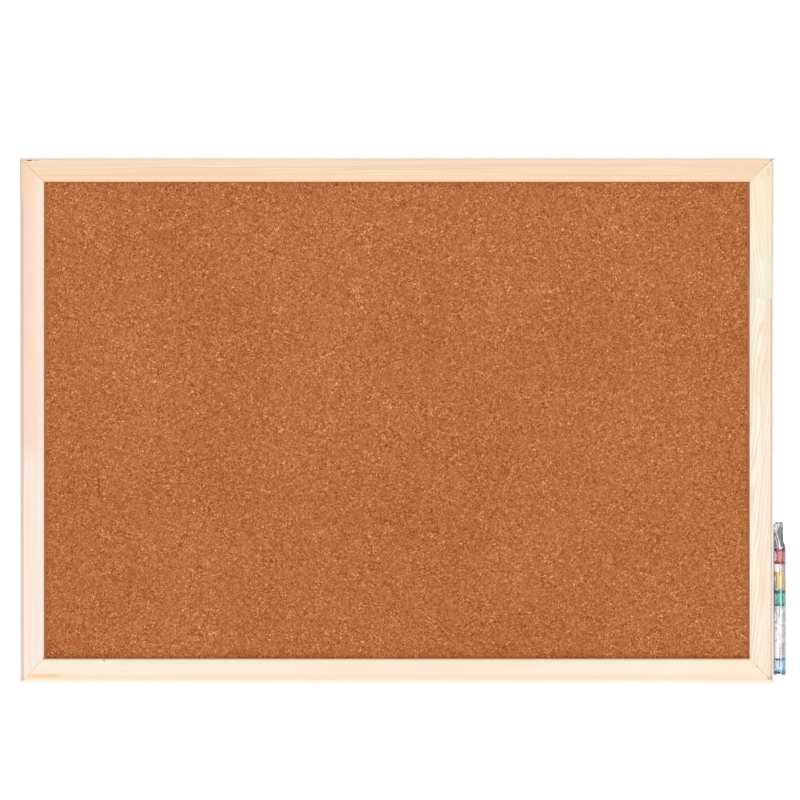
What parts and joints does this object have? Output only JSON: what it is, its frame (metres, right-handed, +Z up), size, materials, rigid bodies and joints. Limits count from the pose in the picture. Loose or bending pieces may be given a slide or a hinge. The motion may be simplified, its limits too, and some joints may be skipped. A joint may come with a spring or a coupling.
{
  "type": "cork board",
  "caption": "Wall-hung cork pin board in a mitred pine frame, with ring hangers behind and a film sleeve of push pins taped to its edge.",
  "frame": {"origin": "middle of the top rail's back face, the face that lies against the wall", "axes": "+Y points back into the wall, +Z up, and +X to the right as seen from in front"},
  "size_m": [0.6109, 0.0191, 0.418],
  "materials": {
    "pine": "satin",
    "cork": "matte",
    "softboard": "matte",
    "hardboard": "satin",
    "plated_steel": "satin",
    "needle_steel": "polished",
    "film": "gloss",
    "tape": "gloss",
    "grip_red": "gloss",
    "grip_yellow": "gloss",
    "grip_green": "gloss",
    "grip_white": "gloss",
    "grip_clear": "gloss",
    "grip_blue": "gloss"
  },
  "bodies": {
    "board": {"frame_rail_top": "pine", "frame_rail_bottom": "pine", "frame_stile_left": "pine", "frame_stile_right_upper_stave": "pine", "frame_stile_right_lower_stave": "pine", "cork_sheet": "cork", "softboard_core": "softboard", "backing_sheet": "hardboard", "hanger_strap_left": "plated_steel", "hanger_screw_left": "plated_steel", "hanger_strap_right": "plated_steel", "hanger_screw_right": "plated_steel", "v_nail_top_left_outer": "plated_steel", "v_nail_top_left_inner": "plated_steel", "v_nail_top_right_outer": "plated_steel", "v_nail_top_right_inner": "plated_steel", "v_nail_bottom_right_outer": "plated_steel", "v_nail_bottom_right_inner": "plated_steel", "v_nail_bottom_left_outer": "plated_steel", "v_nail_bottom_left_inner": "plated_steel", "tape_on_stile": "tape"},
    "ring_left": {"hanger_ring_left": "plated_steel"},
    "ring_right": {"hanger_ring_right": "plated_steel"},
    "pin_pack": {"pin_sleeve": "film", "tape_on_sleeve": "tape", "push_pin_grip_red": "grip_red", "push_pin_needle_red": "needle_steel", "push_pin_grip_yellow": "grip_yellow", "push_pin_needle_yellow": "needle_steel", "push_pin_grip_green": "grip_green", "push_pin_needle_green": "needle_steel", "push_pin_grip_white": "grip_white", "push_pin_needle_white": "needle_steel", "push_pin_grip_clear": "grip_clear", "push_pin_needle_clear": "needle_steel", "push_pin_grip_blue": "grip_blue", "push_pin_needle_blue": "needle_steel"}
  },
  "joints": [
    {"name": "ring_left_swing", "type": "hinge", "parent": "board", "child": "ring_left", "pos_m": [-0.2905, 0.0021, -0.0505], "axis": [1, 0, 0], "range_deg": [0, 180]},
    {"name": "ring_right_swing", "type": "hinge", "parent": "board", "child": "ring_right", "pos_m": [0.2905, 0.0021, -0.0505], "axis": [1, 0, 0], "range_deg": [0, 180]},
    {"name": "pin_pack_peel", "type": "hinge", "parent": "board", "child": "pin_pack", "pos_m": [0.3, 0, -0.3405], "axis": [0, 0, 1], "range_deg": [0, 90]}
  ]
}
